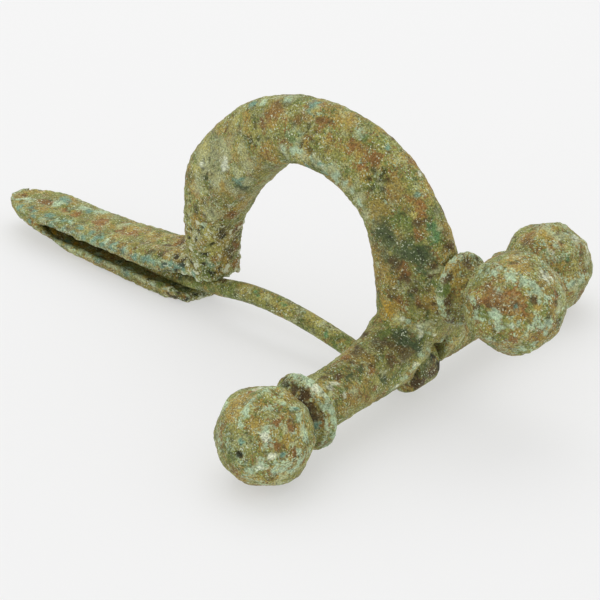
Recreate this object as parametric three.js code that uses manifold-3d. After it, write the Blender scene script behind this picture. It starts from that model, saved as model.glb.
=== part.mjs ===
// Roman crossbow brooch, cast in copper alloy: an arched bow with a long foot and catch, a crossbar with an
// onion knob at each end, a third knob on the head of the bow, and a hinged pin held in the catch.
// It stands as it is put down on a table, on its two end knobs and the underside of the catch.
// X runs from the foot towards the head knob, Y along the crossbar, Z up. Sizes are in millimetres.
// Places are first given from the point of the table below the middle of the crossbar.
import * as THREE from "three";
import { mergeVertices } from "three/addons/utils/BufferGeometryUtils.js";
import Module from "manifold-3d";

const wasm = await Module();
wasm.setup();

// Knobs: onions with eight worn ridges, each cast with its collar, and seated flat on what carries it.
const endKnobRadius = 6.1;
const endKnobOffset = 27.6;
const headKnobRadius = 6.3;
const headKnobTilt = THREE.MathUtils.degToRad(6.3);
const knobSides = 8;
const facetDepth = 0.55;
const headKnobTurn = THREE.MathUtils.degToRad(22.5);
const pitRadius = 0.7;
const headPitRadius = 0.25;
const rimRadius = 4.85;
const headRimRadius = 4.45;
const rimWidth = 0.85;
const grooveWidth = 0.35;
const grooveInset = 1.0;
const headGrooveInset = 0.35;
const innerRimInset = 0.1;
const innerRimWidth = 0.65;
const dishLength = 1.2;
const headDishLength = 1.5;
const dishCurve = 0.7;
const neckRadius = 2.95;
const headNeckRadius = 2.2;
const edgeRound = 0.3;
const seam = 0.1;
const endKnobShape = {
  radius: endKnobRadius,
  rim: rimRadius,
  groove: grooveInset,
  neck: neckRadius,
  dish: dishLength,
  pit: pitRadius,
};
const headKnobShape = {
  radius: headKnobRadius,
  rim: headRimRadius,
  groove: headGrooveInset,
  neck: headNeckRadius,
  dish: headDishLength,
  pit: headPitRadius,
};

// Crossbar: a round bar whose top swells into the bow, with a heavier roof over the hinge.
const crossbarHeight = endKnobRadius;
const armRadius = 3.25;
const shoulderRise = 2.5;
const shoulderStart = 3.9;
const shoulderFade = 3.9;
const roofSwell = 0.95;
const roofReach = 6.8;
const roofFade = 2.5;

// Bow: an arch whose outer edge is a half ellipse, with a leg down to the crossbar and one down to the foot.
const archMiddle = -15.2;
const archLift = 6.4;
const archSpring = crossbarHeight + archLift;
const archHalfSpan = 21.8;
const archRise = 22.0;
const headLegAngle = 14;
const headSeatAngle = 10.7;
const headBossRadius = 3.1;
const headBossLength = 4.0;
const footLegAngle = 168;
const headThickness = 10.7;
const headLegSpread = 0.45;
const headThins = 62;
const frontThickness = 8.3;
const crownAngle = 98;
const crownThickness = 8.1;
const shoulderAngle = 136;
const shoulderThickness = 9.6;
const legThickness = 8.7;
const shoulderBulge = 1.0;
const shoulderBulgeAngle = 160;
const shoulderBulgeSpread = 13;
const frontBulge = 0.95;
const frontBulgeAngle = 56;
const frontBulgeSpread = 27;
const footLegThickness = 5.7;
const headWidth = 9.2;
const crownWidth = 8.6;
const shoulderWidth = 8.3;
const footLegWidth = 7.4;
const headCrestWidth = 5.6;
const crestWidth = 3.6;
const footLegCrestWidth = 5.8;
const bowRoundness = 2.7;

// Foot and catch: a bevelled bar over a channel that is open along one side and closed at the tip.
const footTip = 71.3;
const footWidth = 8.0;
const footHeight = 4.9;
const heelRise = 2.6;
const tipDrop = 0.6;
const tipLift = 2.8;
const tipLiftLength = 17.0;
const footBevel = 1.7;
const footEdge = 0.6;
const hollowDepth = 0.35;
const tipLength = 8.0;
const tipSide = 0.7;
const tipWidthShare = 0.2;
const heelInset = 4.0;
const heelNarrowing = 1.2;
const soleWidth = 3.6;
const soleFlare = 1.3;
const soleFlareStart = 62;
const soleFlareEnd = 40;
const soleRound = 0.35;
const catchInset = 0.7;
const channelWall = 1.2;
const channelFloor = 0.95;
const channelCeiling = 4.0;
const channelEnd = 63.0;
const channelClosing = 3.0;
const channelOverrun = 2.0;
const lipInset = 0.35;
const lipHeight = 1.95;
const lipThickness = 0.95;
const mouthInset = 0.7;
const mouthSlant = 3.4;
const mouthLead = 0.9;
const mouthLift = 1.2;
const mouthLiftLength = 9.0;
const channelPastHeel = 4.0;

// Pin: a rolled head on a short axle, and an arched tapering shank whose end lies in the catch.
const hingeHeight = crossbarHeight - 1.7;
const pinHeadRadius = 3.5;
const pinHeadWidth = 3.7;
const pinSide = -1.0;
const axleRadius = 0.7;
const axleClearance = 0.15;
const axleBite = 2.2;
const pinEyeClearance = 0.4;
const slotClearance = 0.35;
const slotFarGap = 1.5;
const slotRoof = crossbarHeight + 0.4;
const windowRise = 2.2;
const windowRoof = crossbarHeight + windowRise;
const pinThickness = 2.3;
const pinPoint = 0.45;
const pinLength = 60.0;
const pinCrown = 4.75;
const pinCrownAt = 22.0;
const pinCrownHalf = 4.0;
const pinRootLength = 5.0;
const pinLanding = 4.0;
const pinMiddle = 14.0;
const pinAboveFloor = 1.85;
const pinSlope = 0.4;

const mix = THREE.MathUtils.lerp;
const ease = THREE.MathUtils.smoothstep;

// A value that eases from one key to the next; keys are [place, value] in rising order of place.
function eased(keys, place) {
  const next = keys.findIndex(([at]) => place < at);
  if (next === 0) return keys[0][1];
  if (next < 0) return keys[keys.length - 1][1];
  const [[from, before], [to, after]] = [keys[next - 1], keys[next]];
  return mix(before, after, ease(place, from, to));
}

// Moves every vertex of a geometry to where the function puts it.
function shaped(geometry, move) {
  const place = geometry.getAttribute("position");
  const point = new THREE.Vector3();
  for (let i = 0; i < place.count; i++) {
    move(point.fromBufferAttribute(place, i));
    place.setXYZ(i, point.x, point.y, point.z);
  }
  return geometry;
}

// A closed geometry as a solid that can be joined and cut.
function solidOf(geometry) {
  const bare = new THREE.BufferGeometry().setAttribute("position", geometry.getAttribute("position"));
  bare.setIndex(geometry.index);
  const merged = mergeVertices(bare, 1e-4);
  const vertProperties = merged.attributes.position.array;
  const triVerts = new Uint32Array(merged.index.array);
  return new wasm.Manifold(new wasm.Mesh({ numProp: 3, vertProperties, triVerts }));
}

function geometryOf(solid) {
  const { vertProperties, triVerts } = solid.getMesh();
  const geometry = new THREE.BufferGeometry();
  geometry.setAttribute("position", new THREE.BufferAttribute(vertProperties, 3));
  geometry.setIndex(new THREE.BufferAttribute(triVerts, 1));
  geometry.computeVertexNormals();
  return geometry;
}

// A block between two corners.
function block([x0, y0, z0], [x1, y1, z1]) {
  const geometry = new THREE.BoxGeometry(x1 - x0, y1 - y0, z1 - z0);
  return solidOf(geometry.translate((x0 + x1) / 2, (y0 + y1) / 2, (z0 + z1) / 2));
}

// A round bar along Y, from y0 to y1, around the line at x, z.
function barAlongY(radius, y0, y1, x, z, sides) {
  const geometry = new THREE.CylinderGeometry(radius, radius, y1 - y0, sides);
  return solidOf(geometry.translate(x, (y0 + y1) / 2, z));
}

// A flat outline in Y and Z, carried along X from x0 to x1 in equal steps.
function carriedAlongX(outline, x0, x1, steps) {
  const shape = new THREE.Shape(outline.map(([y, z]) => new THREE.Vector2(y, z)));
  const geometry = new THREE.ExtrudeGeometry(shape, { depth: x1 - x0, steps, bevelEnabled: false });
  // The outline's own axes become Y and Z, and its depth becomes X.
  return shaped(geometry, (p) => p.set(x0 + p.z, p.x, p.y));
}

// Crossbar radius at a place along it and an angle round it, counted from the front (+X) towards the top.
function crossbarRadius(y, angle) {
  const out = Math.abs(y);
  const top = ease(Math.sin(angle), 0.3, 0.75);
  const rise = shoulderRise * Math.exp(-Math.max(0, out - shoulderStart) / shoulderFade);
  const roof = roofSwell * ease(Math.sin(angle), -0.1, 0.35) * (1 - ease(out, roofReach - roofFade, roofReach));
  return armRadius + Math.max(rise * top, roof);
}

function crossbar(armLength) {
  const geometry = new THREE.CylinderGeometry(1, 1, 2 * armLength, 28, 40);
  shaped(geometry, (p) => {
    const angle = Math.atan2(p.z, p.x);
    const radius = crossbarRadius(p.y, angle) * Math.hypot(p.x, p.z);
    p.set(radius * Math.cos(angle), p.y, crossbarHeight + radius * Math.sin(angle));
  });
  return solidOf(geometry);
}

// The bow runs from the crossbar (share 0) up its head leg, over the arch and down its foot leg (share 1).
const headShare = 0.17;
const footShare = 0.84;
const legOuter = archHalfSpan - archMiddle - 0.5;
const heel = legOuter - heelInset;
const mouth = heel + mouthInset;

function archStation(degrees) {
  const angle = THREE.MathUtils.degToRad(degrees);
  const thickness = eased(
    [
      [headLegAngle, headThickness],
      [headThins, frontThickness],
      [crownAngle, crownThickness],
      [shoulderAngle, shoulderThickness],
      [footLegAngle, legThickness],
    ],
    degrees,
  );
  const outer = new THREE.Vector2(archHalfSpan * Math.cos(angle), archRise * Math.sin(angle));
  const inner = outer.clone().setLength(outer.length() - thickness);
  const fromShoulder = (degrees - shoulderBulgeAngle) / shoulderBulgeSpread;
  const fromFront = (degrees - frontBulgeAngle) / frontBulgeSpread;
  const bulge = shoulderBulge * Math.exp(-(fromShoulder ** 2)) + frontBulge * Math.exp(-(fromFront ** 2));
  outer.setLength(outer.length() + bulge);
  const middle = new THREE.Vector2(archMiddle, archSpring);
  return { inner: inner.add(middle), outer: outer.add(middle) };
}

// The bow's inner and outer edge on its head leg, which leans out of the crossbar's full width.
function headLegStation(up) {
  const top = archStation(headLegAngle);
  const inner = new THREE.Vector2(-armRadius - headLegSpread, crossbarHeight).lerp(top.inner, up);
  const outer = new THREE.Vector2(mix(armRadius, top.outer.x, Math.sin((up * Math.PI) / 2)), 0);
  outer.y = mix(crossbarHeight, top.outer.y, up);
  return { inner, outer };
}

// The same on its foot leg, which thins quickly under the shoulder and then drops straight to the foot.
function footLegStation(down) {
  const top = archStation(footLegAngle);
  const floor = channelCeiling + footEdge;
  const thinning = Math.sqrt(Math.sin((down * Math.PI) / 2));
  const innerX = mix(top.inner.x, footLegThickness - legOuter, thinning);
  const inner = new THREE.Vector2(innerX, mix(top.inner.y, floor, down));
  const outer = new THREE.Vector2(mix(top.outer.x, -legOuter, down), mix(top.outer.y, floor, down));
  return { inner, outer };
}

function bowEdges(share) {
  if (share < headShare) return headLegStation(share / headShare);
  if (share > footShare) return footLegStation((share - footShare) / (1 - footShare));
  return archStation(mix(headLegAngle, footLegAngle, (share - headShare) / (footShare - headShare)));
}

function bowWidths(share) {
  const width = [
    [headShare, headWidth],
    [0.5, crownWidth],
    [0.75, shoulderWidth],
    [0.9, footLegWidth],
  ];
  const crest = [
    [headShare, headCrestWidth],
    [0.32, crestWidth],
    [0.7, crestWidth],
    [0.9, footLegCrestWidth],
  ];
  return { width: eased(width, share), crest: eased(crest, share) };
}

// The bow's section is a rounded wedge, widest on the inside and narrow along its crest.
function bow() {
  const geometry = new THREE.CylinderGeometry(1, 1, 1, 20, 44);
  const rounded = (value) => Math.sign(value) * Math.abs(value) ** (2 / bowRoundness);
  shaped(geometry, (p) => {
    const { inner, outer } = bowEdges(0.5 + p.y);
    const { width, crest } = bowWidths(0.5 + p.y);
    const reach = Math.hypot(p.x, p.z);
    const turn = Math.atan2(p.z, p.x);
    const across = reach * rounded(Math.cos(turn));
    const outwards = (1 + reach * rounded(Math.sin(turn))) / 2;
    const edge = inner.clone().lerp(outer, outwards);
    p.set(edge.x, (across * mix(width, crest, outwards ** 1.5)) / 2, edge.y);
  });
  return solidOf(geometry);
}

// The foot's outline from behind: bevelled top, near edge at -Y, and a rounded sole.
function footOutline() {
  const half = footWidth / 2;
  const edgeTop = channelCeiling + footEdge;
  const flat = half - footBevel;
  const sole = soleWidth / 2;
  const catchHalf = half - catchInset;
  const lipFace = lipInset - half;
  return [
    [-sole, 0],
    [sole, 0],
    [sole + 2 * soleRound, soleRound],
    [catchHalf - soleRound, 1.3],
    [catchHalf, channelCeiling - soleRound],
    [half, channelCeiling + 0.1],
    [half, edgeTop],
    [flat, footHeight],
    [-flat, footHeight],
    [-half, edgeTop],
    [-half, channelCeiling + 0.1],
    [lipFace, channelCeiling - 0.2],
    [lipFace, lipHeight],
    [lipFace + soleRound, lipHeight / 2],
    [-sole - 2 * soleRound, soleRound],
  ];
}

// How far the foot's top stands above its height at the middle: it falls at the tip and climbs to the bow.
function footTopRise(x) {
  const towardsHeel = ease(x, -footTip + tipLength, -heel + 2);
  return heelRise * towardsHeel ** 1.6 - tipDrop * (1 - ease(x, -footTip - 1, -footTip + tipLength));
}

function footBar() {
  const geometry = carriedAlongX(footOutline(), -footTip, -heel, 28);
  shaped(geometry, (p) => {
    // The tip is rounded and its sole lifts off the table, and the heel narrows to the bow's leg.
    const fromTip = THREE.MathUtils.clamp((p.x + footTip) / tipLength, 0, 1);
    const heelShare = ease(p.x, -heel - tipLength, -heel);
    const top = THREE.MathUtils.clamp((p.z - channelCeiling) / (footHeight - channelCeiling), 0, 1);
    const lift = tipLift * (1 - ease(p.x, -footTip, -footTip + tipLiftLength));
    const narrow = Math.sqrt(1 - (1 - fromTip) ** 2);
    if (p.z < lipHeight / 2 - 0.01) p.y *= mix(1, soleFlare, ease(p.x, -soleFlareStart, -soleFlareEnd));
    p.z += top * footTopRise(p.x) + lift * (1 - p.z / footHeight);
    p.y = mix(tipSide, p.y, Math.max(narrow, tipWidthShare)) * (1 - (2 * heelNarrowing * heelShare) / footWidth);
  });
  return solidOf(geometry);
}

// Shallow lens-shaped hollows down the top of the foot: share of its length, half length and half width.
function footHollows() {
  const hollows = [
    [0.06, 1.3, 0.9],
    [0.29, 5.6, 1.15],
    [0.6, 4.2, 1.3],
    [0.87, 2.9, 1.8],
  ];
  return hollows.map(([share, halfLength, halfWidth]) => {
    const x = mix(-footTip, -legOuter, share);
    const slope = Math.atan(footTopRise(x + 0.5) - footTopRise(x - 0.5));
    const lens = new THREE.SphereGeometry(1, 14, 8).scale(halfLength, halfWidth, hollowDepth * 2);
    return solidOf(lens.rotateY(-slope).translate(x, 0, footHeight + footTopRise(x) + hollowDepth));
  });
}

// The channel under the foot, open along the near side above the lip, with a ceiling that lifts at the mouth.
function channel() {
  const half = footWidth / 2;
  const wall = half - catchInset - channelWall;
  const open = -half - channelOverrun;
  const lipBack = lipInset + lipThickness - half;
  const corner = 0.5;
  const outline = [
    [open, lipHeight],
    [lipBack, lipHeight],
    [lipBack + soleRound, channelFloor + soleRound],
    [lipBack + 2 * soleRound, channelFloor],
    [wall - corner, channelFloor],
    [wall, channelFloor + corner],
    [wall, channelCeiling - corner],
    [wall - corner, channelCeiling],
    [open, channelCeiling],
  ];
  const run = carriedAlongX(outline, -channelEnd, -heel + channelPastHeel, 24);
  shaped(run, (p) => {
    // The ceiling lifts towards the mouth, and the channel closes to a thin end behind the tip.
    if (p.z > channelCeiling - corner - 0.01) p.z += mouthLift * ease(p.x, -mouth - mouthLiftLength, -mouth);
    const closing = ease(p.x, -channelEnd, -channelEnd + channelClosing);
    p.z = mix(mix(channelCeiling, lipHeight, 0.4), p.z, mix(0.35, 1, closing));
  });
  return solidOf(run);
}

// What the slanting mouth of the catch leaves out of the lip, the sole and the far wall.
function mouthCut() {
  const half = footWidth / 2;
  const past = 2;
  const shape = new THREE.Shape();
  shape.moveTo(-heel + past, -half - past);
  shape.lineTo(-mouth - mouthSlant - mouthLead, -half - past);
  shape.quadraticCurveTo(-mouth - mouthSlant, -half * 0.45, -mouth - mouthSlant / 2, half * 0.65);
  shape.lineTo(-mouth - 2, half + past);
  shape.lineTo(-heel + past, half + past);
  shape.closePath();
  const geometry = new THREE.ExtrudeGeometry(shape, {
    depth: channelCeiling + past / 2,
    bevelEnabled: false,
    curveSegments: 8,
  });
  return solidOf(geometry.translate(0, 0, -past / 2));
}

// How far a knob's middle stands from its seat.
function knobSpan({ radius, neck, dish }) {
  return rimWidth + grooveWidth + dish + Math.sqrt(radius ** 2 - neck ** 2);
}

// A knob with its collar, spun round Z, its flat seat at the origin and its crown at +Z.
function knob(shape) {
  const { radius, rim, neck, dish, pit } = shape;
  const centre = knobSpan(shape);
  const innerRim = rim - innerRimInset;
  const grooveTop = rimWidth + grooveWidth;
  const collarTop = grooveTop + dish;
  const profile = [
    [0, 0],
    [rim - edgeRound, 0],
    [rim, edgeRound],
    [rim, rimWidth - edgeRound],
    [rim - edgeRound, rimWidth],
    [rim - shape.groove, rimWidth],
    [rim - shape.groove, grooveTop],
    [innerRim - edgeRound, grooveTop],
    [innerRim, grooveTop + edgeRound],
    [innerRim - edgeRound, grooveTop + innerRimWidth],
    [mix(innerRim, neck, dishCurve), collarTop - edgeRound],
    [neck, collarTop],
  ];
  const from = Math.asin(neck / radius);
  const to = Math.PI - Math.asin(pit / radius);
  const rings = 11;
  for (let i = 0; i <= rings; i++) {
    const angle = mix(from, to, i / rings);
    profile.push([radius * Math.sin(angle), centre - radius * Math.cos(angle)]);
  }
  profile.push([0, centre + radius - pit]);
  const points = profile.map(([out, up]) => new THREE.Vector2(out, up));
  const geometry = new THREE.LatheGeometry(points, 48);
  // Between ridges that run from the collar to the crown, the ball is worn nearly flat.
  const side = (2 * Math.PI) / knobSides;
  shaped(geometry, (p) => {
    const above = ease(p.y, collarTop, collarTop + radius * 0.4);
    const below = 1 - ease(p.y, centre + radius * 0.75, centre + radius);
    const fromRidge = THREE.MathUtils.euclideanModulo(Math.atan2(p.z, p.x), side);
    const flat = Math.cos(side / 2) / Math.cos(fromRidge - side / 2);
    const inset = 1 - facetDepth * (1 - flat) * above * below;
    p.set(p.x * inset, p.y, p.z * inset);
  });
  return solidOf(geometry.rotateX(Math.PI / 2));
}

// The pin's shank in its upright plane: level out of the head, over its arch, then straight in the catch.
function pinShank() {
  const start = hingeHeight - pinHeadRadius + pinThickness / 2;
  const inCatch = channelFloor + pinAboveFloor;
  const route = new THREE.CatmullRomCurve3(
    [
      [1.0, start],
      [-pinRootLength, start + 0.1],
      [-pinCrownAt + pinCrownHalf, pinCrown - 0.35],
      [-pinCrownAt - pinCrownHalf, pinCrown - 0.1],
      [-mouth - pinLanding, inCatch],
      [-mouth - pinMiddle, inCatch - pinSlope * 0.6],
      [-pinLength, inCatch - pinSlope],
    ].map(([x, z]) => new THREE.Vector3(x, pinSide, z)),
    false,
    "centripetal",
  );
  const geometry = new THREE.CylinderGeometry(1, 1, 1, 10, 44);
  shaped(geometry, (p) => {
    const share = 0.5 - p.y;
    const centre = route.getPointAt(share);
    const tangent = route.getTangentAt(share);
    const radius = mix(pinThickness, pinPoint, ease(share, 0.45, 1.0)) / 2;
    p.set(centre.x - tangent.z * p.z * radius, centre.y + p.x * radius, centre.z + tangent.x * p.z * radius);
  });
  return solidOf(geometry);
}

const knobSeat = endKnobOffset - knobSpan(endKnobShape);
const armLength = knobSeat - seam;
const slotNear = pinSide - pinHeadWidth / 2 - slotClearance;
const slotFar = pinSide + pinHeadWidth / 2 + slotFarGap;
const axleNear = -armLength;
const axleFar = slotFar + axleBite;
const axleBore = axleRadius + axleClearance;

// The slot under the crossbar that the pin's head turns in, with a window broken into its front.
function hingeSlot() {
  const pocket = pinHeadRadius + slotClearance;
  const deep = pocket + armRadius + roofSwell;
  return barAlongY(pocket, slotNear, slotFar, 0, hingeHeight, 40)
    .add(block([-deep, slotNear, -1], [deep, slotFar, slotRoof]))
    .add(block([0, pinSide - slotClearance, slotRoof - 1], [deep, slotFar, windowRoof]));
}

// The bore for the axle is drilled from the end of the near arm, through the slot, and a little way beyond.
function axleHole() {
  return barAlongY(axleBore, -armLength - 1, axleFar + seam, 0, hingeHeight, 24);
}

// The head knob's seat on the front of the bow, turned up a little from the X axis.
const seatAngle = THREE.MathUtils.degToRad(headSeatAngle);
const headSeat = new THREE.Group();
headSeat.position.x = archMiddle + archHalfSpan * Math.cos(seatAngle) + seam;
headSeat.position.z = archSpring + archRise * Math.sin(seatAngle);
headSeat.rotation.y = Math.PI / 2 - headKnobTilt;
headSeat.updateMatrix();

function headBoss() {
  const geometry = new THREE.CylinderGeometry(headBossRadius, headBossRadius, headBossLength, 28);
  geometry.rotateX(Math.PI / 2).translate(0, 0, -headBossLength / 2 - seam);
  return solidOf(geometry.applyMatrix4(headSeat.matrix));
}

// Bow, crossbar, foot and catch are one casting.
function casting() {
  return crossbar(armLength)
    .add(bow())
    .add(headBoss())
    .add(footBar())
    .subtract(channel())
    .subtract(mouthCut())
    .subtract(hingeSlot())
    .subtract(axleHole())
    .subtract(wasm.Manifold.union(footHollows()));
}

function pin() {
  const near = pinSide - pinHeadWidth / 2;
  const far = pinSide + pinHeadWidth / 2;
  return barAlongY(pinHeadRadius, near, far, 0, hingeHeight, 40)
    .add(pinShank())
    .subtract(barAlongY(axleRadius + pinEyeClearance, near - 1, far + 1, 0, hingeHeight, 24));
}

const bronze = (color, roughness) => new THREE.MeshStandardMaterial({ color, roughness, metalness: 0.15 });
const castingFinish = bronze(0x7d7848, 0.75);
const knobFinish = bronze(0x857a47, 0.75);
const pinFinish = bronze(0x77803f, 0.7);
const axleFinish = bronze(0x5c5138, 0.8);

function piece(name, solid, finish) {
  const mesh = new THREE.Mesh(geometryOf(solid), finish);
  mesh.name = name;
  return mesh;
}

function endKnob(name, side) {
  const mesh = piece(name, knob(endKnobShape), knobFinish);
  mesh.rotation.x = (-side * Math.PI) / 2;
  mesh.position.set(0, side * knobSeat, crossbarHeight);
  return mesh;
}

function headKnob() {
  const mesh = piece("head_knob", knob(headKnobShape), knobFinish);
  mesh.rotation.copy(headSeat.rotation);
  mesh.rotateZ(headKnobTurn);
  mesh.position.copy(headSeat.position);
  return mesh;
}

const brooch = new THREE.Group();
brooch.add(piece("bow_crossbar_and_foot", casting(), castingFinish));
brooch.add(endKnob("near_end_knob", -1));
brooch.add(endKnob("far_end_knob", 1));
brooch.add(headKnob());
brooch.add(piece("pin", pin(), pinFinish));
brooch.add(piece("hinge_axle", barAlongY(axleRadius, axleNear, axleFar, 0, hingeHeight, 20), axleFinish));

// The part's origin is on the table, in the middle of its length and width.
const part = new THREE.Group();
const extent = new THREE.Box3().setFromObject(brooch, true);
const centre = extent.getCenter(new THREE.Vector3());
brooch.position.set(-centre.x, -centre.y, -extent.min.z);
part.add(brooch);

export default part;
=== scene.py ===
from math import atan2, cos, exp, hypot, pi, radians
import bmesh
import bpy
from mathutils import Matrix, Vector, kdtree, noise


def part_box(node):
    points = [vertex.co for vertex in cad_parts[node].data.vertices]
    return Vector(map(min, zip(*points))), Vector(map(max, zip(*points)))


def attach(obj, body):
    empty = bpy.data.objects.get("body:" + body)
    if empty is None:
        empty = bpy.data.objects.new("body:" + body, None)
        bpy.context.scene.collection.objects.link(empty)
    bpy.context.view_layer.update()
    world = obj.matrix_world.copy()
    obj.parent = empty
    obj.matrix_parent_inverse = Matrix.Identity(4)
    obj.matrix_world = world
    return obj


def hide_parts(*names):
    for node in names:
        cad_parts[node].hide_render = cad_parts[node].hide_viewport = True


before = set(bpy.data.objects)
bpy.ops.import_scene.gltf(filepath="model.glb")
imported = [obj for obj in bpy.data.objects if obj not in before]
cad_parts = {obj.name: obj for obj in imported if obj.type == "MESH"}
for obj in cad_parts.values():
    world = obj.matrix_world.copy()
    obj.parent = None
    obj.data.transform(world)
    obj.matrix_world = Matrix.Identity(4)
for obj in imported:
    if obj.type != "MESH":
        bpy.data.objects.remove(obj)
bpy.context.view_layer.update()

# The body of the brooch is one casting in copper alloy: an arched bow, the crossbar that its head stands
# on, and the long foot folded round the catch. Long burial has left its whole skin grainy, stained and
# crusted. Here it is the plain solid with a fine new skin, which is then corroded.
mm = 0.001
casting_grain = 0.26 * mm
skin_rubs = 3


def rub(shape, times):
    """Smooths a skin by drawing every point towards its neighbours."""
    for _ in range(times):
        bmesh.ops.smooth_vert(shape, verts=shape.verts, factor=0.5, use_axis_x=True, use_axis_y=True,
                              use_axis_z=True)


def worn_skin(piece, grain):
    """Remakes a piece's surface as one fine, even skin, and rubs its facets and edges down."""
    skin = piece.modifiers.new("skin", "REMESH")
    skin.mode = "VOXEL"
    skin.voxel_size = grain
    bpy.context.view_layer.update()
    piece.data = bpy.data.meshes.new_from_object(piece.evaluated_get(bpy.context.evaluated_depsgraph_get()))
    piece.modifiers.clear()
    shape = bmesh.new()
    shape.from_mesh(piece.data)
    rub(shape, skin_rubs)
    for face in shape.faces:
        face.smooth = True
    shape.to_mesh(piece.data)
    shape.free()


def cast_piece(node, name):
    """A copy of a casting's plain solid, its loose triangles joined."""
    shape = bmesh.new()
    shape.from_mesh(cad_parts[node].data)
    bmesh.ops.remove_doubles(shape, verts=shape.verts, dist=0.001 * mm)
    return finished_piece(shape, name)


def finished_piece(shape, name):
    """Makes a named piece of a modelled shape."""
    mesh = bpy.data.meshes.new(name)
    shape.to_mesh(mesh)
    shape.free()
    piece = bpy.data.objects.new(name, mesh)
    bpy.context.collection.objects.link(piece)
    return piece


def eased(value, start, end):
    """Rises smoothly from 0 at the start to 1 at the end."""
    share = min(1, max(0, (value - start) / (end - start)))
    return share * share * (3 - 2 * share)


def colour(red, green, blue):
    """A colour as the eye reads it, 0 to 255, given as light."""
    return [(c / 255 / 12.92 if c <= 10 else ((c / 255 + 0.055) / 1.055) ** 2.4)
            for c in (red, green, blue)] + [1]


patina = {
    "olive": colour(134, 134, 68),
    "ochre": colour(152, 130, 60),
    "amber": colour(186, 148, 36),
    "straw": colour(170, 164, 90),
    "rust": colour(130, 92, 44),
    "umber": colour(80, 62, 32),
    "bottle": colour(66, 82, 48),
    "moss": colour(96, 112, 50),
    "verdigris": colour(88, 130, 80),
    "mint": colour(168, 190, 156),
    "turquoise": colour(108, 146, 126),
    "sage": colour(168, 172, 126),
    "pale": colour(212, 218, 190),
    "grime_and_shade": colour(30, 28, 18),
}

# The corrosion swells broadly, in lumps and in grains. A stain fades from half its reach to a little past
# it, its outline wanders, and a wide one is laid thinner than a small one. The seed makes the outlines
# wander the same way every time.
noise.seed_set(1)
edge_rubs = 14
swell_size, lump_size, grain_size = 3.5 * mm, 1.1 * mm, 0.5 * mm
mark_fade = (0.5, 1.2)
farthest_mark = 4.5 * mm
small_mark = 1.2 * mm
most_wander = 0.8 * mm


def corrode(piece, stains, depth, rubs=edge_rubs, crusty=lambda place: 0.0, carve=lambda place, normal: 0.0):
    """Roughens a skin with swellings, lumps and pits, and lays its stains on it, the small over the large; a
    few of these marks are painted shade.

    Four things are kept on the skin for the finish to read: "relief", the height of the roughness; "edge",
    how far a place stands out of the shape round it, which is the skin rubbed down; "crust", how coarse it
    is; and "stain", the colour of its stain or painted shade."""
    mesh = piece.data
    rounded = bmesh.new()
    rounded.from_mesh(mesh)
    rub(rounded, rubs)
    rounded.verts.ensure_lookup_table()
    relief, edge, crust = (mesh.attributes.new(label, "FLOAT", "POINT")
                           for label in ("relief", "edge", "crust"))
    stain = mesh.attributes.new("stain", "FLOAT_COLOR", "POINT")
    marks = [(Vector(m[:3]) * mm, m[3] * mm, Vector(patina[name][:3])) for name, places in stains.items()
             for m in places]
    marks.sort(key=lambda mark: -mark[1])
    centres = kdtree.KDTree(len(marks))
    for order, (centre, reach, tint) in enumerate(marks):
        centres.insert(centre, order)
    centres.balance()
    moved = []
    for vertex, normal in zip(mesh.vertices, mesh.vertex_normals):
        place, out = vertex.co, normal.vector
        extra = crusty(place)
        swell, lumps, grains = (noise.noise(place / size) for size in (swell_size, lump_size, grain_size))
        height = 0.5 * swell + (0.5 + 0.5 * extra) * lumps + (0.35 + 0.9 * extra) * grains
        cut = carve(place, out)
        moved.append(place + out * (depth * height + cut))
        relief.data[vertex.index].value = lumps * 0.6 + grains * 0.4 + min(0.4, max(-0.4, cut / (0.4 * mm)))
        edge.data[vertex.index].value = (place - rounded.verts[vertex.index].co).dot(out) / (0.1 * mm)
        crust.data[vertex.index].value = extra
        wander = noise.noise_vector(place / (1.3 * mm)) + noise.noise_vector(place / (0.45 * mm))
        laid, tone = 0, Vector((0, 0, 0))
        for order in sorted(near[1] for near in centres.find_range(place, farthest_mark)):
            centre, reach, tint = marks[order]
            away = (place - centre + wander * min(most_wander, 0.8 * reach)).length / reach
            if away < mark_fade[1]:
                weight = (0.9 if reach < small_mark else 0.7) * (1 - eased(away, *mark_fade))
                tone = tone.lerp(tint, weight / (weight + laid * (1 - weight)))
                laid = weight + laid * (1 - weight)
        stain.data[vertex.index].color = (*tone, laid)
    for vertex, place in zip(mesh.vertices, moved):
        vertex.co = place
    rounded.free()
    mesh.update()


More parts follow.
